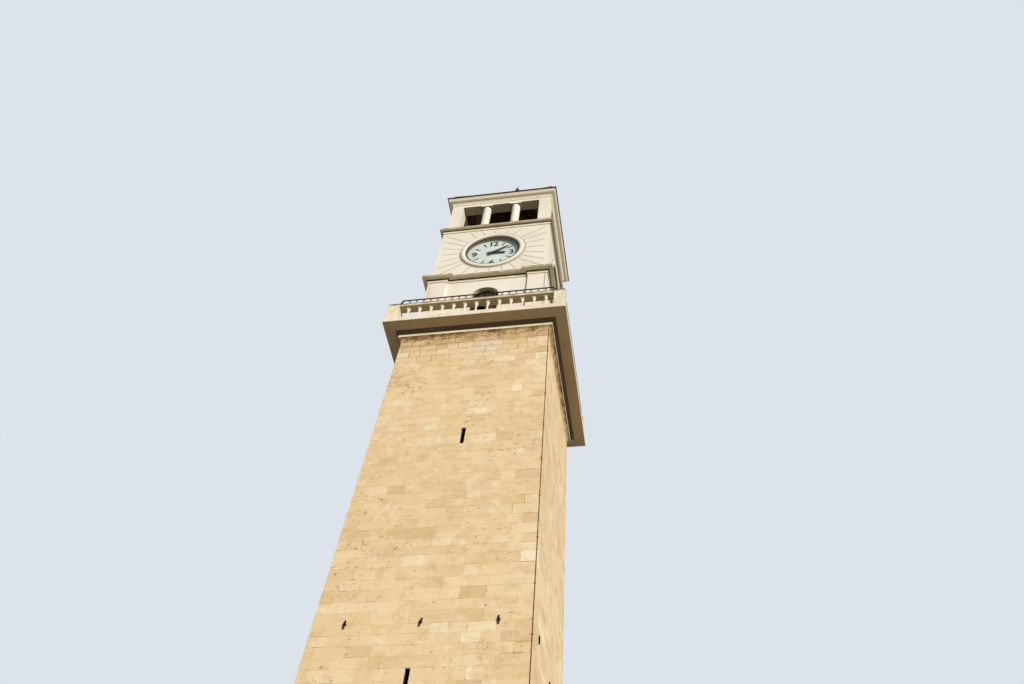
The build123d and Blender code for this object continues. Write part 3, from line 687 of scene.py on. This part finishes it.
pattern_wire = 0.055         # on a ring of radius 1
rail_ring = start_pattern(
    "rail_ring", bpy.ops.mesh.primitive_torus_add, major_radius=1, minor_radius=pattern_wire,
    major_segments=28, minor_segments=6, rotation=(pi / 2, 0, 0))
bpy.ops.object.transform_apply(rotation=True)
for vertex in rail_ring.data.vertices:
    vertex.co.y *= ring_wire / pattern_wire
rail_cap = start_pattern(
    "rail_cap", bpy.ops.mesh.primitive_cube_add, size=1, scale=(1, cap_width, cap_height))
bpy.ops.object.transform_apply(scale=True)
for side, side_name in enumerate(side_names):
    inset = 0 if side in (0, 2) else side_rail_gap
    rings = dress_rail((inset - rail_straight, -rail_line), (rail_straight - inset, -rail_line),
                       rail_cells, side)
    if side in (0, 2):
        for way in (1, -1):
            rings += dress_rail((way * rail_straight, -rail_line),
                                (way * rail_line, -rail_straight), corner_cells, side)
    fix_to_tower(join_pieces(rings, f"{side_name}_rail_rings"), rusting_iron)
bpy.data.objects.remove(rail_ring)
bpy.data.objects.remove(rail_cap)


# Upper tower. Lime render over masonry, floated smooth and washed cream, with faint clouds, thin
# runs of dirt below the cornices and a fine sandy face. It is painted brown where it faces down and
# in the rays and the groove cut round each dial, as painted shade, and each dial's ring has a
# painted shade line round its outer edge.
def floated_render(name, shade_below="A89878", wall_face=0, stained_arris=0, ring=()):
    """Lime render, with a colour painted on its undersides as painted shade. What is cut into a wall
    face so far from the tower's middle is painted darker as painted shade; it is rusty beside
    corners so far from it; and a ring, given by its outer and inner radius and the height of its
    middle, has a painted shade line round its outer edge and a dark olive band round its inner edge."""
    material, tree, shader, place = start_material(name, 0.9)
    clouds = add_node(tree, "ShaderNodeTexNoise", {
        "Vector": place, "Scale": 0.5 / 0.9, "Detail": 6})
    washed = add_node(tree, "ShaderNodeValToRGB", {"Fac": clouds}, stops=(
        (0.30, "F4EDDD"), (0.75, "E6DAC0"), (0.52, "F0E8D6")))
    streaked = add_node(tree, "ShaderNodeMapping", {"Vector": place, "Scale": (1, 1, 0.06)})
    runs = add_node(tree, "ShaderNodeTexNoise", {
        "Vector": streaked, "Scale": 0.5 / 0.06, "Detail": 5})
    layers = [(runs, 0.57, 0.80, 0.15, "C9B98F")]
    # What is cut into the wall face is painted darker, as painted shade.
    if wall_face:
        layers.append((out_from_middle(tree, place, "MAXIMUM"), wall_face - 0.003,
                       wall_face - 0.009, 0.85, "75684F"))
    if stained_arris:
        wavering = add_node(tree, "ShaderNodeMath", {
            0: clouds, 1: 0.10, 2: out_from_middle(tree, place, "MINIMUM")},
            operation="MULTIPLY_ADD")
        beside = add_node(tree, "ShaderNodeMath", {0: wavering, 1: stained_arris - 0.03, 2: 0.022},
                          operation="COMPARE")
        patches = add_node(tree, "ShaderNodeMapRange", {
            "Value": runs, "From Min": 0.40, "From Max": 0.60, "To Max": 0.65})
        rusty = add_node(tree, "ShaderNodeMath", {0: beside, 1: patches}, operation="MULTIPLY")
        layers.append((rusty, 0, 1, 1, "A87F55"))
    if ring:
        outer, inner, ring_height = ring
        height = add_node(tree, "ShaderNodeSeparateXYZ", {"Vector": place}).outputs["Z"]
        from_centre = add_node(tree, "ShaderNodeCombineXYZ", {
            0: out_from_middle(tree, place, "MINIMUM"),
            1: add_node(tree, "ShaderNodeMath", {0: height, 1: ring_height}, operation="SUBTRACT")})
        radius = add_node(tree, "ShaderNodeVectorMath", {0: from_centre},
                          operation="LENGTH").outputs["Value"]
        # A painted shade line round the ring's outer edge, and a dark olive band round its inner
        # edge.
        layers += [(radius, outer - 0.036, outer - 0.024, 0.75, "94805F"),
                   (radius, inner + 0.050, inner + 0.020, 0.85, "5E5844")]
    # Undersides take a painted shade.
    layers.append((facing_up(tree), -0.5, -0.9, 0.9, shade_below))
    sand = add_node(tree, "ShaderNodeTexNoise", {
        "Vector": place, "Scale": 0.5 / 0.012, "Detail": 4})
    finish_material(tree, shader, lay_shades(tree, washed, layers), sand, 0.0015, 0.5)
    return material


clock_half = -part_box("front_clock_wall")[0].y
ring_low, ring_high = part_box("clock_rings")
dial_height = (ring_low.z + ring_high.z) / 2
ring_radius = ring_high.z - dial_height
dial_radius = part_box("dial_rims")[1].z - dial_height
coat([f"{side_name}_clock_wall" for side_name in side_names],
     floated_render("incised_clock_render", wall_face=clock_half))
coat(["clock_rings"], floated_render(
    "moulded_ring_render", ring=(ring_radius, dial_radius, dial_height)))
coat([f"{side_name}_door_wall" for side_name in side_names] + ["belfry_piers"],
     floated_render("floated_lime_render"))
coat(["corner_pilasters"], floated_render(
    "stained_pilaster_render", stained_arris=-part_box("corner_pilasters")[0].x))
# The lintel's underside takes a darker painted shade.
coat(["belfry_lintel"], floated_render("lintel_render_shaded_below", shade_below="83745A"))

# Cornices: run in place in lime mortar over stone, pale on their faces, mottled along their top
# edges, and painted dark as painted shade in the ovolo under the soffit, in the corners of the top
# mould and along its top below the eave.
lower_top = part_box("lower_cornice")[1].z
sill_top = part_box("sill_cornice")[1].z
lintel_top, eave_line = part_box("top_cornice")[0].z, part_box("top_cornice")[1].z
lower_ovolo = 0.1125         # from the top of the cornice to the middle of its ovolo
sill_ovolo = 0.1215
ovolo_half = 0.015
joint_spacing = 1.86
coat(["lower_cornice"], carved_stone(
    "run_lower_cornice", "EFE3C9", "A8997A", "C9BB9C", 0.45, upright_joints=joint_spacing,
    dirty_edge=lower_top - 0.03,
    painted_shade_bands=((lower_top - lower_ovolo, ovolo_half, 1.0, "2E2418"),)))
coat(["sill_cornice"], carved_stone(
    "run_sill_cornice", "EFE3C9", "A8997A", "BFAF8C", 0.45, upright_joints=joint_spacing,
    dirty_edge=sill_top - 0.03,
    painted_shade_bands=((sill_top - sill_ovolo, ovolo_half, 0.9, "4F3E2A"),)))
# The top cornice's bands are painted shade lines, the top one the shadow of the eave.
coat(["top_cornice"], carved_stone(
    "run_top_cornice", "F2E6CB", "A8997A", "EFE3C6", 0.45, upright_joints=joint_spacing,
    painted_shade_bands=((lintel_top + 0.024, 0.006, 0.5, "8A7350"),
                (lintel_top + 0.142, 0.012, 0.7, "6E5A3F"),
                (lintel_top + 0.210, 0.009, 0.75, "6E5A3F"), (eave_line, 0.022, 1.0, "1E1610"))))


# Balcony doors. Eight stained softwood leaves, two to a doorway, each framed up round three fielded
# panels and hung on the jamb from inside. The front left leaf stands open against its jamb. The
# stain has faded to a red brown with the grain showing through, and tar fills that of the frames.
def upright_wood(name, shades, relief):
    """Wood with its grain upright, which stands out more or less strongly."""
    material, tree, shader, place = start_material(name, 0.6)
    along_grain = add_node(tree, "ShaderNodeMapping", {"Vector": place, "Scale": (1, 1, 0.05)})
    grain = add_node(tree, "ShaderNodeTexNoise", {
        "Vector": along_grain, "Scale": 0.5 / 0.006, "Detail": 6, "Roughness": 0.65})
    colour = add_node(tree, "ShaderNodeValToRGB", {"Fac": grain}, stops=shades)
    finish_material(tree, shader, colour.outputs[0], grain, 0.001, relief)
    return material


stained_wood = upright_wood("stained_framed_wood", (
    (0.30, "3E2114"), (0.72, "8A5532"), (0.50, "5F3520")), 0.5)
coat(["balcony_door_frames"], upright_wood("tarred_frame_wood", (
    (0.30, "1F1712"), (0.72, "4C3728"), (0.50, "32241A")), 0.0))

leaf_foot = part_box("balcony_doors")[0].z
leaf_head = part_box("balcony_doors")[1].z
leaf_face = -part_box("balcony_doors")[0].y
leaf_thickness = 0.040
leaf_inner = 0.004           # from the middle of the doorway to the meeting stile
leaf_outer = 0.433           # and to the hinges
stile_width = 0.065
panel_sink = 0.010
panel_bevel = 0.004
panel_field = 0.028
field_rise = 0.006
rail_shares = (0.30, 0.66)   # of the leaf's height, where its two middle rails lie

leaf = start_pattern(
    "leaf", bpy.ops.mesh.primitive_cube_add, size=1,
    scale=(leaf_outer - leaf_inner, leaf_thickness, leaf_head - leaf_foot),
    location=((leaf_outer + leaf_inner) / 2, leaf_thickness / 2 - leaf_face,
              (leaf_foot + leaf_head) / 2))
bpy.ops.object.transform_apply(location=True, scale=True)
for share in rail_shares:
    bpy.ops.object.mode_set(mode="EDIT")
    bpy.ops.mesh.select_all(action="SELECT")
    bpy.ops.mesh.bisect(
        plane_co=(0, 0, leaf_foot + share * (leaf_head - leaf_foot)), plane_no=(0, 0, 1))
    bpy.ops.object.mode_set(mode="OBJECT")
pick_faces(leaf, lambda middle, normal: abs(normal.y) > 0.5)
bpy.ops.mesh.inset(thickness=stile_width, use_individual=True)
bpy.ops.mesh.inset(thickness=panel_bevel, depth=-panel_sink, use_individual=True)
bpy.ops.mesh.inset(thickness=panel_field, depth=field_rise, use_individual=True)
bpy.ops.object.mode_set(mode="OBJECT")
to_left = Matrix.Translation((-leaf_inner - leaf_outer, 0, 0))
hinge = Vector((-leaf_outer, -leaf_face, 0))
swing_open = (Matrix.Translation(hinge + Vector((leaf_thickness, 0, 0)))
              @ Matrix.Rotation(pi / 2, 4, "Z") @ Matrix.Translation(-hinge))
leaves = [lay_copy(leaf, Matrix.Identity(4)), lay_copy(leaf, swing_open @ to_left)]
for side in (1, 2, 3):
    leaves += [lay_copy(leaf, turn_to(side)), lay_copy(leaf, turn_to(side) @ to_left)]
bpy.data.objects.remove(leaf)
panelled_leaves = join_pieces(leaves, "panelled_door_leaves")
fix_to_tower(panelled_leaves, stained_wood)
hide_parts("balcony_doors")

# Entrance door: five broad planks with their edges chamfered to V-joints, each cut to the arch of
# the frame that they shut in. All of it is stained as the leaves upstairs are.
coat(["entrance_frame"], stained_wood)
door_low, door_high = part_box("entrance_door")
plank_count = 5
plank_width = (door_high.x - door_low.x) / plank_count
plank_chamfer = 0.004
arch_clearance = 0.002       # between the planks and the frame over them
door_arch = door_high.x - arch_clearance
planks = []
for number in range(plank_count):
    left = door_low.x + plank_width * number
    right = left + plank_width
    plank = start_pattern(
        "plank", bpy.ops.mesh.primitive_cube_add, size=1,
        scale=(plank_width, door_high.y - door_low.y, door_high.z - door_low.z),
        location=((left + right) / 2, (door_low.y + door_high.y) / 2,
                  (door_low.z + door_high.z) / 2))
    bpy.ops.object.transform_apply(location=True, scale=True)
    rises = [sqrt(max(0, door_arch ** 2 - x ** 2)) for x in (left, right)]
    bpy.ops.object.mode_set(mode="EDIT")
    bpy.ops.mesh.bisect(
        plane_co=(left, 0, entrance_spring + rises[0]),
        plane_no=(rises[0] - rises[1], 0, plank_width), clear_outer=True, use_fill=True)
    bpy.ops.mesh.select_all(action="SELECT")
    bpy.ops.mesh.bevel(offset=plank_chamfer, segments=1, affect="EDGES")
    bpy.ops.object.mode_set(mode="OBJECT")
    planks.append(plank)
entrance_planks = join_pieces(planks, "entrance_planks")
fix_to_tower(entrance_planks, stained_wood)
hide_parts("entrance_door")

# Dials: enamelled sheet, pale greenish white and slightly glossy, in a dark steel rim. Plain
# figures stand at 12, 3, 6 and 9 and a bar at each hour between, cut from black sheet.
coat(["clock_dials"], mottled(
    "dial_enamel", 0.35, 0.25, ((0.35, "DDE6DD"), (0.75, "C3CFC3")), gloss=0.5))
black_sheet = mottled("black_painted_sheet", 0.45, 0.08, ((0.35, "23292E"), (0.8, "3A4247")))
coat(["hour_hand", "minute_hand", "clock_arbor", "other_clock_hands"], black_sheet)

dial_face = -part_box("clock_dials")[0].y
mark_thickness = 0.004
bar_inner = 0.520
bar_outer = 0.730
bar_width = 0.045
figure_radii = {12: 0.615, 3: 0.615, 6: 0.580, 9: 0.640}
figure_height = 0.275
figure_share = 0.7           # of the height of a line of type, which a figure takes

hour_bar = start_pattern(
    "hour_bar", bpy.ops.mesh.primitive_cube_add, size=1,
    scale=(bar_width, mark_thickness, bar_outer - bar_inner),
    location=(0, 0, (bar_inner + bar_outer) / 2))
bpy.ops.object.transform_apply(location=True, scale=True)
figures = {}
for hour in figure_radii:
    bpy.ops.object.select_all(action="DESELECT")
    bpy.ops.object.text_add()
    figure = bpy.context.object
    figure.data.body = str(hour)
    figure.data.align_x = "CENTER"
    figure.data.size = figure_height / figure_share
    figure.data.extrude = mark_thickness / 2
    figure.data.space_character = 0.82
    figure.data.offset = 0.010
    bpy.ops.object.convert(target="MESH")
    figure = bpy.context.object
    xs, ys = zip(*(vertex.co.xy for vertex in figure.data.vertices))
    to_centre = (-(min(xs) + max(xs)) / 2, -(min(ys) + max(ys)) / 2, 0)
    figure.data.transform(Matrix.Rotation(pi / 2, 4, "X") @ Matrix.Translation(to_centre))
    figures[hour] = figure
for side, side_name in enumerate(side_names):
    on_dial = turn_to(side) @ Matrix.Translation((0, -dial_face - mark_thickness / 2, dial_height))
    marks = []
    for hour in range(1, 13):
        angle = hour * pi / 6
        if hour in figures:
            centre = figure_radii[hour] * Vector((sin(angle), 0, cos(angle)))
            marks.append(lay_copy(figures[hour], on_dial @ Matrix.Translation(centre)))
        else:
            marks.append(lay_copy(hour_bar, on_dial @ Matrix.Rotation(angle, 4, "Y")))
    fix_to_tower(join_pieces(marks, f"{side_name}_dial_figures"), black_sheet)
for pattern in (hour_bar, *figures.values()):
    bpy.data.objects.remove(pattern)

# Rim of each dial: a steel hoop between the enamel and the render, black on its front edge and
# olive grey inside.
rim_lip = (0.008, 0.002)     # behind the wall's face, where the black begins and is full
rim_steel, tree, shader, place = start_material("black_edged_rim_steel", 0.6)
colour = lay_shades(tree, "7A7663", (
    (out_from_middle(tree, place, "MAXIMUM"), clock_half - rim_lip[0], clock_half - rim_lip[1], 1,
     "161511"),))
tree.links.new(colour, shader.inputs["Base Color"])
coat(["dial_rims"], rim_steel)

# Belfry columns: four limestone drums to a shaft, dressed round and laid dry-jointed, under a
# square abacus. They are the cleanest stone of the tower.
abacus_height = 0.066
drum_count = 4
column_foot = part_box("belfry_columns")[0].z
drum_height = (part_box("belfry_columns")[1].z - abacus_height - column_foot) / drum_count
coat(["belfry_columns"], carved_stone(
    "drum_limestone", "F6EFDE", "CDBD9A", "86755A", 0.3, bed_joints=(column_foot, drum_height)))

# Roof: painted steel sheet over boards, laid in bays with a standing seam between them, and a roll
# along each hip. The paint has dulled to a patchy red brown, and the boards show underneath. The
# eave's drip edge and the underside of its overhang are painted black, as painted shade.
eave_half = -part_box("roof")[0].y
drip_width = 0.045           # of the sheet turned down over the eave
roof_sheet, tree, shader, place = start_material("painted_roof_sheet", 0.5)
fade = add_node(tree, "ShaderNodeTexNoise", {"Vector": place, "Scale": 0.5 / 0.5, "Detail": 6})
colour = add_node(tree, "ShaderNodeValToRGB", {"Fac": fade}, stops=(
    (0.30, "43241F"), (0.75, "6A3D33"), (0.55, "512D27")))
washed_down = add_node(tree, "ShaderNodeMapping", {"Vector": place, "Scale": (1, 1, 0.08)})
rust_runs = add_node(tree, "ShaderNodeTexNoise", {
    "Vector": washed_down, "Scale": 0.5 / 0.05, "Detail": 5})
facing = facing_up(tree)
not_slope = add_node(tree, "ShaderNodeMath", {0: facing, 1: 0.2}, operation="LESS_THAN")
overhang = add_node(tree, "ShaderNodeMath", {
    0: out_from_middle(tree, place, "MAXIMUM"), 1: eave_half - drip_width},
    operation="GREATER_THAN")
# The eave's edge and the underside of its overhang are painted black as painted shade.
eave_painted_shade = add_node(tree, "ShaderNodeMath", {0: not_slope, 1: overhang}, operation="MULTIPLY")
colour = lay_shades(tree, colour, (
    (rust_runs, 0.58, 0.75, 0.6, "7E4A30"), (facing, -0.05, -0.2, 1, "A98A62"),
    (eave_painted_shade, 0, 1, 1, "1B1412")))
tree.links.new(colour, shader.inputs["Base Color"])
coat(["roof"], roof_sheet)

seam_spacing = 0.42
seam_width = 0.022
seam_height = 0.012
seam_taper = 0.35            # of the seam's width, left at its top
eave_margin = 0.20           # of plain sheet between the eave and the foot of each seam
hip_roll_radius = 0.035
eave_top = 30.458            # where the slope starts, over the thin upright edge
roof_flat_half = 0.060
roof_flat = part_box("roof")[1].z
slope = atan2(roof_flat - eave_top, eave_half - roof_flat_half)

seam = start_pattern(
    "seam", bpy.ops.mesh.primitive_cube_add, size=1, scale=(seam_width, 1, seam_height),
    location=(0, 0.5, seam_height / 2))
bpy.ops.object.transform_apply(location=True, scale=True)
pick_faces(seam, lambda middle, normal: normal.z > 0.5)
bpy.ops.transform.resize(value=(seam_taper, 1, 1))
bpy.ops.mesh.inset(thickness=0.001, depth=0.004)
bpy.ops.object.mode_set(mode="OBJECT")
hip_roll = start_pattern(
    "hip_roll", bpy.ops.mesh.primitive_cylinder_add, vertices=14, radius=hip_roll_radius,
    depth=1, location=(0, 0.5, 0), rotation=(pi / 2, 0, 0))
bpy.ops.object.transform_apply(location=True, rotation=True)
pick_faces(hip_roll, lambda middle, normal: abs(normal.y) > 0.5)
bpy.ops.mesh.inset(thickness=0.010, depth=0.0)
bpy.ops.object.mode_set(mode="OBJECT")

trim_half = eave_half - eave_margin
trim_foot = eave_top + eave_margin * tan(slope)
seams_each_way = int((trim_half - eave_margin) / seam_spacing)
hip_foot = Vector((trim_half, -trim_half, trim_foot))
hip_head = Vector((roof_flat_half, -roof_flat_half, roof_flat))
up_hip = (hip_head - hip_foot).normalized()
across = up_hip.cross(Vector((0, 0, 1))).normalized()
on_hip = (Matrix.Translation(hip_foot)
          @ Matrix((across, up_hip, across.cross(up_hip))).transposed().to_4x4()
          @ Matrix.Diagonal((1, (hip_head - hip_foot).length, 1, 1)))
roof_trim = []
for side in range(len(side_names)):
    for number in range(-seams_each_way, seams_each_way + 1):
        x = number * seam_spacing
        run = trim_half - max(abs(x), roof_flat_half)
        roof_trim.append(lay_copy(
            seam, turn_to(side) @ Matrix.Translation((x, -trim_half, trim_foot))
            @ Matrix.Rotation(slope, 4, "X") @ Matrix.Diagonal((1, run / cos(slope), 1, 1))))
    roof_trim.append(lay_copy(hip_roll, turn_to(side) @ on_hip))
bpy.data.objects.remove(seam)
bpy.data.objects.remove(hip_roll)
fix_to_tower(join_pieces(roof_trim, "roof_seams"), roof_sheet)

# Rafters and belfry floor: sawn softwood, spiked together and left bare, brown and dusty. The
# boards of the roof lie on the rafters.
coat(["roof_rafters", "belfry_floor"], mottled("sawn_softwood", 0.8, 0.05, (
    (0.3, "4A3826"), (0.75, "7E6344")), detail=6))

# Finial: a ball on a stem, spun from lead sheet and fixed to the flat at the roof's peak, dull
# grey.
coat(["finial"], mottled("dull_lead", 0.6, 0.06, ((0.3, "3B3937"), (0.75, "6C6864"))))
